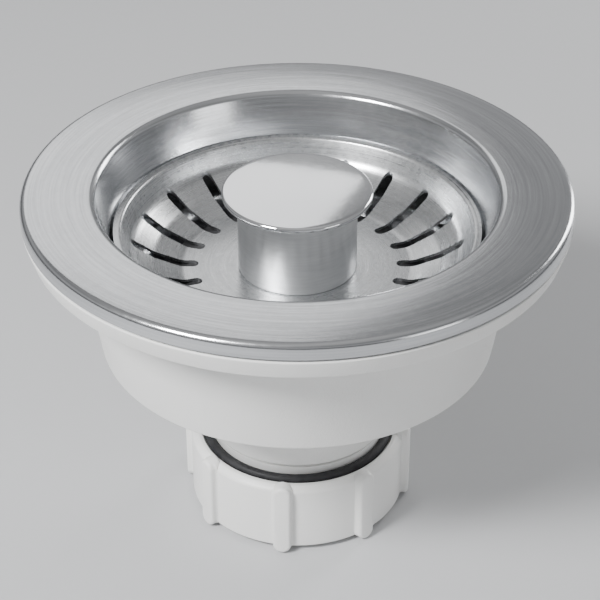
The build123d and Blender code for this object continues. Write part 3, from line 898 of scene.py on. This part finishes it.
def thread(mesh, foot, top, root_r, depth):
    """Turns of a thread between two heights. A positive depth stands out of the root."""
    first = int((foot - THREAD_DATUM) / PITCH * THREAD_ROWS) - THREAD_ROWS - 1
    last = ceil((top - THREAD_DATUM) / PITCH * THREAD_ROWS) + 1
    grid = {}
    for i in range(SEGMENTS):
        angle = 2 * pi * i / SEGMENTS
        for j in range(first, last + THREAD_ROWS + 1):
            climbed = THREAD_DATUM + PITCH * (j / THREAD_ROWS + i / SEGMENTS)
            z = min(max(climbed, foot), top)
            r = thread_radius(root_r, depth, j, z, foot, top)
            grid[i, j] = mesh.verts.new((r * cos(angle) * MM, r * sin(angle) * MM, z * MM))
    for i in range(SEGMENTS):
        k, shift = (i + 1, 0) if i + 1 < SEGMENTS else (0, THREAD_ROWS)
        for j in range(first, last):
            corners = (grid[i, j], grid[k, j + shift], grid[k, j + 1 + shift], grid[i, j + 1])
            heights = {round(corner.co.z, 9) for corner in corners}
            if len(heights) > 1:
                mesh.faces.new(corners)
    loose = [vert for vert in mesh.verts if not vert.link_faces]
    bmesh.ops.delete(mesh, geom=loose, context="VERTS")


# Lower body
body_low, body_high = node_box("lower_body")
BODY_FLANGE_TOP, BODY_FLANGE_FOOT = -0.6, -5.0
BODY_FLANGE_R, BODY_FLANGE_FOOT_R = body_high.x, 55.6
BODY_PLATE, BODY_SKIRT = 1.9, 1.8
GASKET_INNER_R, GASKET_OUTER_R, GASKET_GAP = 46.8, 55.2, 0.1
GROOVE_FLOOR, GROOVE_EDGE = -2.0, 0.2
BOWL_TOP_R, BOWL_FOOT_R, BOWL_FOOT, BOWL_WALL, BOWL_EDGE = 46.7, 42.0, -32.3, 2.4, 0.8
FUNNEL_SLOPE, FUNNEL_BEND, BOWL_BEND = tan(radians(15)), 2.0, 3.0
COLLAR_R, COLLAR_FOOT = 19.7, -54.2
RELIEF_R, RELIEF_WIDTH = 18.4, 1.1
NECK_BORE_R, NECK_GROOVE_R = 16.9, 19.05
SPIGOT_TOP, SPIGOT_FOOT = -58.7, body_low.z
SPIGOT_CHAMFER, FOOT_CHAMFER, SEAT_CHAMFER = 0.9, 0.3, 1.8
SHOULDER_RING, SHOULDER_RING_SLOPE = 0.9, 0.2
GUSSETS, GUSSET_WIDTH, GUSSET_DEPTH, GUSSET_REACH = 16, 1.8, 5.6, 7.0


def funnel_outside(r):
    return BOWL_FOOT - (BOWL_FOOT_R - r) * FUNNEL_SLOPE


def funnel_inside(r):
    return BOWL_FOOT + BOWL_WALL - (BOWL_FOOT_R - BOWL_WALL - r) * FUNNEL_SLOPE


def build_body():
    """Moulded body: flange with the gasket's groove and gussets, bowl, funnel, neck and threaded spigot."""
    plate_foot = GROOVE_FLOOR - BODY_PLATE
    skirt_r = BODY_FLANGE_FOOT_R - BODY_SKIRT
    groove_in, groove_out = GASKET_INNER_R - GASKET_GAP, GASKET_OUTER_R + GASKET_GAP
    relief_foot = COLLAR_FOOT - RELIEF_WIDTH
    core = THREAD_R - THREAD_DEPTH
    thread_top = SPIGOT_TOP - SHOULDER_RING
    thread_foot = SPIGOT_FOOT + SPIGOT_CHAMFER
    outline = rounded([
        (core, thread_foot),
        (core, SPIGOT_FOOT + FOOT_CHAMFER, 0.25),
        (core - FOOT_CHAMFER, SPIGOT_FOOT),
        (NECK_BORE_R + SEAT_CHAMFER, SPIGOT_FOOT),
        (NECK_BORE_R, SPIGOT_FOOT + SEAT_CHAMFER, 0.3),
        (NECK_BORE_R, funnel_inside(NECK_BORE_R), FUNNEL_BEND),
        (BOWL_FOOT_R - BOWL_WALL, BOWL_FOOT + BOWL_WALL, BOWL_BEND),
        (BOWL_TOP_R - BOWL_WALL, BODY_FLANGE_TOP, 0.5),
        (groove_in, BODY_FLANGE_TOP, GROOVE_EDGE),
        (groove_in, GROOVE_FLOOR, GROOVE_EDGE),
        (groove_out, GROOVE_FLOOR, GROOVE_EDGE),
        (groove_out, BODY_FLANGE_TOP, GROOVE_EDGE),
        (BODY_FLANGE_R, BODY_FLANGE_TOP, 0.35),
        (BODY_FLANGE_FOOT_R, BODY_FLANGE_FOOT, 0.4),
        (skirt_r, BODY_FLANGE_FOOT, 0.3),
        (skirt_r, plate_foot, 0.5),
        (BOWL_TOP_R, plate_foot, BOWL_EDGE),
        (BOWL_FOOT_R, BOWL_FOOT, BOWL_EDGE),
        (COLLAR_R, funnel_outside(COLLAR_R), FUNNEL_BEND),
        (COLLAR_R, COLLAR_FOOT, 0.1),
        (RELIEF_R, COLLAR_FOOT, 0.2),
        (RELIEF_R, relief_foot, 0.1),
        (NECK_GROOVE_R, relief_foot, 0.1),
        (NECK_GROOVE_R, SPIGOT_TOP, 0.2),
        (THREAD_R, SPIGOT_TOP, 0.2),
        (THREAD_R, thread_top + SHOULDER_RING_SLOPE),
        (core, thread_top),
    ], closed=False)
    mesh = bmesh.new()
    turned(mesh, outline, closed=False)
    thread(mesh, thread_foot, thread_top, core, THREAD_DEPTH)
    gusset_top, gusset_in = plate_foot + BODY_PLATE / 2, BOWL_TOP_R - BOWL_WALL / 2
    gusset = [
        (gusset_in, gusset_top),
        (BOWL_TOP_R + GUSSET_REACH, gusset_top),
        (BOWL_TOP_R + GUSSET_REACH, plate_foot),
        (gusset_in, plate_foot - GUSSET_DEPTH),
    ]
    for k in range(GUSSETS):
        turn = about_z(2 * pi * (k + 0.5) / GUSSETS) @ UPRIGHT
        prism(mesh, gusset, -GUSSET_WIDTH / 2, GUSSET_WIDTH / 2, turn)
    dress(finished("lower_body_skin", mesh), "lower_body", body_white)


# Hub and webs inside the body
WEBS, WEB_WIDTH, WEB_TOP, WEB_R, WEB_FOOT, WEB_SINK = 4, 2.6, -29.5, 33.0, -42.0, 0.6
HUB_R, HUB_TOP, HUB_FOOT = 11.5, cup_low.z, -41.5
POCKET_R, POCKET_FOOT = 9.93, -39.9


def build_spider():
    """Hub and webs, with the webs' ends sunk a little into the walls that they are moulded to."""
    hub_side, neck_side = HUB_R - WEB_SINK, NECK_BORE_R + WEB_SINK
    web = [
        (hub_side, WEB_TOP),
        (WEB_R, (funnel_inside(WEB_R) + WEB_TOP) / 2),
        (WEB_R, funnel_inside(WEB_R) - WEB_SINK),
        (neck_side, funnel_inside(NECK_BORE_R) - WEB_SINK),
        (neck_side, WEB_FOOT),
        (hub_side, WEB_FOOT),
    ]
    mesh = bmesh.new()
    for k in range(WEBS):
        turn = about_z(2 * pi * (k + 0.5) / WEBS) @ UPRIGHT
        prism(mesh, web, -WEB_WIDTH / 2, WEB_WIDTH / 2, turn)
    turned(mesh, rounded([
        (0, HUB_FOOT),
        (HUB_R, HUB_FOOT, 0.8),
        (HUB_R, HUB_TOP, 0.4),
        (POCKET_R, HUB_TOP),
        (POCKET_R, POCKET_FOOT),
        (0, POCKET_FOOT),
    ]))
    dress(finished("hub_spider_skin", mesh), "hub_spider", body_white)


# Outlet nut
nut_low, nut_high = node_box("outlet_nut")
NUT_TOP, NUT_TOP_R, NUT_SHOULDER, NUT_SHOULDER_BEND = -57.5, 22.4, 1.0, 1.2
NUT_R, NUT_SIDE_FOOT = 23.7, -73.3
NUT_FOOT, NUT_FOOT_R = nut_low.z, 21.6
NUT_LIP, NUT_LIP_R = 2.1, 16.4
NUT_BORE_R, NUT_THREAD_TOP = THREAD_R + THREAD_CLEARANCE, 0.9
NUT_MOUTH_R, NUT_MOUTH_DEPTH = 21.47, 1.5
RIBS, RIB_FIRST_ANGLE, RIB_WIDTH = 8, radians(-97.9), 4.0
RIB_TOP, RIB_FOOT, RIB_R, RIB_INNER_R = nut_high.z, -74.4, 25.2, 22.4
# The soft root along a rib's sides: how far it spreads, where it starts and where it ends
RIB_FLARE, ROOT_SINK, ROOT_HEIGHT = 0.3, 0.1, 0.35
RIB_EDGE, RIB_EDGE_STEPS, RIB_END_STEPS = 0.7, 5, 12


def pill(inset):
    """Outline of a rib from outside, as (across, height). A negative inset widens its sides alone."""
    across, along = RIB_WIDTH / 2 - inset, RIB_WIDTH / 2 - max(inset, 0)
    reach = (RIB_TOP - RIB_FOOT) / 2 - RIB_WIDTH / 2
    middle = (RIB_TOP + RIB_FOOT) / 2
    outline = []
    for end, start in ((1, 0), (-1, pi)):
        for k in range(RIB_END_STEPS + 1):
            a = start + pi * k / RIB_END_STEPS
            outline.append((across * cos(a), middle + end * reach + along * sin(a)))
    return outline


def add_rib(mesh, angle):
    """One rib from inside the nut's wall outwards, as rings of (distance from the axis, inset)."""
    levels = [
        (RIB_INNER_R, 0.0),
        (NUT_R - ROOT_SINK, -RIB_FLARE),
        (NUT_R + ROOT_SINK, -RIB_FLARE / 3),
        (NUT_R + ROOT_HEIGHT, 0.0),
    ]
    for k in range(RIB_EDGE_STEPS + 1):
        a = pi / 2 * k / RIB_EDGE_STEPS
        levels.append((RIB_R - RIB_EDGE + RIB_EDGE * sin(a), RIB_EDGE * (1 - cos(a))))
    turn = about_z(angle)
    rings = []
    for x, inset in levels:
        rings.append([mesh.verts.new(turn @ Vector((x * MM, y * MM, z * MM))) for y, z in pill(inset)])
    for one, two in zip(rings, rings[1:]):
        join_rings(mesh, one, two)
    mesh.faces.new(rings[0])
    mesh.faces.new(rings[-1])


def build_nut():
    """Nut with an inner thread, a lip at its foot and eight ribs."""
    mouth_foot = NUT_TOP - NUT_MOUTH_DEPTH
    thread_top = mouth_foot - NUT_THREAD_TOP
    lip_top = NUT_FOOT + NUT_LIP
    outline = rounded([
        (NUT_BORE_R, thread_top),
        (NUT_BORE_R, mouth_foot, 0.1),
        (NUT_MOUTH_R, mouth_foot, 0.1),
        (NUT_MOUTH_R, NUT_TOP, 0.25),
        (NUT_TOP_R, NUT_TOP, 0.5),
        (NUT_R, NUT_TOP - NUT_SHOULDER, NUT_SHOULDER_BEND),
        (NUT_R, NUT_SIDE_FOOT, 0.5),
        (NUT_FOOT_R, NUT_FOOT, 0.4),
        (NUT_LIP_R, NUT_FOOT, 0.3),
        (NUT_LIP_R, lip_top, 0.2),
        (NUT_BORE_R, lip_top, 0.3),
        (NUT_BORE_R, SPIGOT_FOOT),
    ], closed=False)
    mesh = bmesh.new()
    turned(mesh, outline, closed=False)
    thread(mesh, SPIGOT_FOOT, thread_top, NUT_BORE_R, -THREAD_DEPTH)
    for k in range(RIBS):
        add_rib(mesh, RIB_FIRST_ANGLE + 2 * pi * k / RIBS)
    dress(finished("outlet_nut_skin", mesh), "outlet_nut", nut_white)


# Seals and rings between cup, body and nut
FLANGE_SEAL_R, FLANGE_SEAL_GROOVE, FLANGE_SEAL_GROOVE_HALF = 43.9, 0.6, 0.9
WASHER_CONE, WASHER_NOSE = 1.55, 0.3


def build_flange_seal():
    """Seal under the steel flange, with two grooves round its lower face."""
    _, high = node_box("flange_seal")
    outer_r, half = high.x, FLANGE_SEAL_GROOVE_HALF
    third = (outer_r - FLANGE_SEAL_R) / 3
    outline = [
        (FLANGE_SEAL_R, 0, 0.2),
        (FLANGE_SEAL_R, high.z, 0.2),
        (outer_r, high.z, 0.2),
        (outer_r, 0, 0.2),
    ]
    for middle in (outer_r - third, FLANGE_SEAL_R + third):
        outline += [
            (middle + half, 0, 0.15),
            (middle + half, FLANGE_SEAL_GROOVE, 0.2),
            (middle - half, FLANGE_SEAL_GROOVE, 0.2),
            (middle - half, 0, 0.15),
        ]
    turned_piece("flange_seal", outline, black_rubber)


def build_body_seals():
    """Gasket in the body's flange and the black ring round its neck."""
    turned_piece("sink_gasket", [
        (GASKET_INNER_R, GROOVE_FLOOR, 0.2),
        (GASKET_OUTER_R, GROOVE_FLOOR, 0.2),
        (GASKET_OUTER_R, 0, 0.35),
        (GASKET_INNER_R, 0, 0.35),
    ], black_rubber)
    ring_low, ring_high = node_box("neck_ring")
    section = (ring_high.z - ring_low.z) / 2
    round_ring("neck_ring", ring_high.x - section, (ring_low.z + ring_high.z) / 2, section, black_rubber)


def build_nut_seals():
    """Tapered washer on the pipe, and the hard ring between it and the nut's lip."""
    washer_low, washer_high = node_box("pipe_washer")
    bore_r = NUT_LIP_R + LOOSE_FIT
    nose_r = bore_r + WASHER_NOSE
    seat = SPIGOT_FOOT - SEAT_GAP
    turned_piece("pipe_washer", [
        (bore_r, washer_low.z, 0.2),
        (washer_high.x, washer_low.z, 0.2),
        (washer_high.x, seat, 0.3),
        (nose_r + WASHER_CONE, seat, 0.4),
        (nose_r, seat + WASHER_CONE, 0.3),
        (nose_r, washer_high.z, 0.1),
        (bore_r, washer_high.z, 0.1),
    ], black_rubber)
    flat_ring("slip_ring", bore_r, nut_white, bore_edge=0.1, outer_edge=0.1)


# Screws and their washers
SCREW_HEAD, SCREW_R, SCREW_END = 3.5, 7.0, 0.8
SOCKET_R, SOCKET_FOOT = 5.35, -38.2
COIN_SLOT_WIDTH, COIN_SLOT_DEPTH = 2.2, 1.6
FIXING_HEAD_R, FIXING_HEAD = 4.2, 2.4
DRIVER_LENGTH, DRIVER_WIDTH, DRIVER_DEPTH = 4.4, 1.0, 1.2


def build_clamp_screw():
    """Screw with a coin slot across its head and a socket for the basket's stem."""
    low, high = node_box("clamp_screw")
    seat = high.z - SCREW_HEAD
    screw = lathe("clamp_screw_skin", [
        (0, low.z),
        (SCREW_R, low.z, SCREW_END),
        (SCREW_R, seat, 0.3),
        (high.x, seat, 0.2),
        (high.x, high.z, SCREW_END),
        (SOCKET_R, high.z, 0.3),
        (SOCKET_R, SOCKET_FOOT, 0.3),
        (0, SOCKET_FOOT),
    ], SLIM_SEGMENTS)
    coin_slot = rectangle(2 * (high.x + CUT_MARGIN), COIN_SLOT_WIDTH)
    cutter = bmesh.new()
    prism(cutter, coin_slot, high.z - COIN_SLOT_DEPTH, high.z + CUT_MARGIN)
    cut(screw, finished("slot_cutter", cutter))
    dress(screw, "clamp_screw", screw_metal)
    flat_ring("screw_washer", BOLT_HOLE_R, black_rubber, 0.1, 0.1, SLIM_SEGMENTS)


def build_knob_screw():
    """Screw up through the stem into the knob's post, with a cross in its head."""
    low, high = node_box("knob_screw")
    head_top = low.z + FIXING_HEAD
    screw = lathe("knob_screw_skin", [
        (0, low.z),
        (FIXING_HEAD_R, low.z, 0.6),
        (FIXING_HEAD_R, head_top, 0.2),
        (FIXING_R, head_top, 0.1),
        (FIXING_R, high.z, 0.4),
        (0, high.z),
    ], TINY_SEGMENTS)
    cutter = bmesh.new()
    for length, width in ((DRIVER_LENGTH, DRIVER_WIDTH), (DRIVER_WIDTH, DRIVER_LENGTH)):
        prism(cutter, rectangle(length, width), low.z - CUT_MARGIN, low.z + DRIVER_DEPTH)
    cut(screw, finished("cross_cutter", cutter))
    dress(screw, "knob_screw", screw_metal)
    flat_ring("knob_washer", FIXING_HOLE_R, screw_metal, 0.05, 0.15, TINY_SEGMENTS)


# Stage. Lamps have their places in metres and their power in watts.
FLOOR_R = 4000
# Colours of the sky, by height from 0 at the horizon to 1 straight up
SKY_STOPS = (
    (0.0, (0.14, 0.1407, 0.1428)),
    (0.4, (0.9, 0.9045, 0.918)),
    (0.6, (0.44, 0.4422, 0.4488)),
    (1.0, (1.0, 1.0, 1.0)),
)
SKY_STRENGTH = 0.55
BODY_MIDDLE = (0, 0, -0.03)


def build_floor():
    mesh = bmesh.new()
    turned(mesh, [(0, NUT_FOOT), (FLOOR_R, NUT_FOOT)], TINY_SEGMENTS, closed=False)
    floor = finished("floor", mesh)
    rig.stage(floor)
    material, shader = new_material("floor_paint", (0.5, 0.505, 0.515), 0.0, 0.6)
    tree = material.node_tree
    grain = noise(tree, scale=400)
    tree.links.new(spread(tree, grain, 0.55, 0.65), shader.inputs["Roughness"])
    floor.data.materials.append(material)


def build_sky():
    world = bpy.data.worlds.new("studio")
    bpy.context.scene.world = world
    world.use_nodes = True
    tree = world.node_tree
    parts = tree.nodes.new("ShaderNodeSeparateXYZ")
    tree.links.new(tree.nodes.new("ShaderNodeTexCoord").outputs["Generated"], parts.inputs[0])
    ramp = tree.nodes.new("ShaderNodeValToRGB")
    tree.links.new(parts.outputs["Z"], ramp.inputs["Fac"])
    stops = ramp.color_ramp.elements
    for place, _ in SKY_STOPS[1:-1]:
        stops.new(place)
    for stop, (_, colour) in zip(stops, SKY_STOPS):
        stop.color = (*colour, 1)
    background = tree.nodes["Background"]
    tree.links.new(ramp.outputs["Color"], background.inputs["Color"])
    background.inputs["Strength"].default_value = SKY_STRENGTH


def soft_light(name, place, target, size, power, roll=0.0):
    """A rectangular lamp that looks from its place at a target, turned about that line by roll."""
    lamp = bpy.data.lights.new(name, "AREA")
    lamp.shape = "RECTANGLE"
    lamp.size, lamp.size_y = size
    lamp.energy = power
    light = bpy.data.objects.new(name, lamp)
    light.location = place
    aim = Vector(target) - Vector(place)
    turn = aim.to_track_quat("-Z", "Y") @ Quaternion((0, 0, 1), roll)
    light.rotation_euler = turn.to_euler()
    bpy.context.scene.collection.objects.link(light)


def build_lights():
    soft_light("key", (-0.42, -0.38, 0.52), BODY_MIDDLE, size=(0.2, 0.2), power=11)
    soft_light("fill", (0.6, -0.5, 0.12), BODY_MIDDLE, size=(0.3, 0.3), power=0.7)
    soft_light("rim", (0.42, 0.45, 0.18), BODY_MIDDLE, size=(0.15, 0.4), power=2)
    soft_light("card", (-0.16, 0.75, 0.48), (0, 0, 0), size=(0.42, 0.28), power=0.5, roll=radians(-24))


# Camera, from the ellipses of the drawing: distance and angle from the middle of the flange's top
CAMERA_DISTANCE = 400.0
CAMERA_RISE = radians(30.43)
CAMERA_PITCH = radians(33.78)
CAMERA_SIDE = 0.53
FOCAL_PIXELS = 1939.4
PICTURE_PIXELS = 600
SENSOR = 36.0
NEAREST = 10.0


def build_camera():
    lens = bpy.data.cameras.new("camera")
    lens.sensor_width = SENSOR
    lens.lens = FOCAL_PIXELS / PICTURE_PIXELS * SENSOR
    lens.clip_start = NEAREST * MM
    camera = bpy.data.objects.new("camera", lens)
    camera.location = (
        CAMERA_SIDE * MM,
        -CAMERA_DISTANCE * cos(CAMERA_RISE) * MM,
        (FLANGE_TOP + CAMERA_DISTANCE * sin(CAMERA_RISE)) * MM,
    )
    camera.rotation_euler = (pi / 2 - CAMERA_PITCH, 0, 0)
    bpy.context.scene.collection.objects.link(camera)
    bpy.context.scene.camera = camera


paint_nodes()
build_cup()
build_basket()
build_post()
build_cap()
build_basket_seal()
build_stem()
build_body()
build_spider()
build_nut()
build_flange_seal()
build_body_seals()
build_nut_seals()
build_clamp_screw()
build_knob_screw()
build_floor()
build_sky()
build_lights()
build_camera()

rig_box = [list(corner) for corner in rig.bounds()]
with open("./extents.json", "w") as size_file:
    json.dump({"cad": cad_box, "visual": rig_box}, size_file)
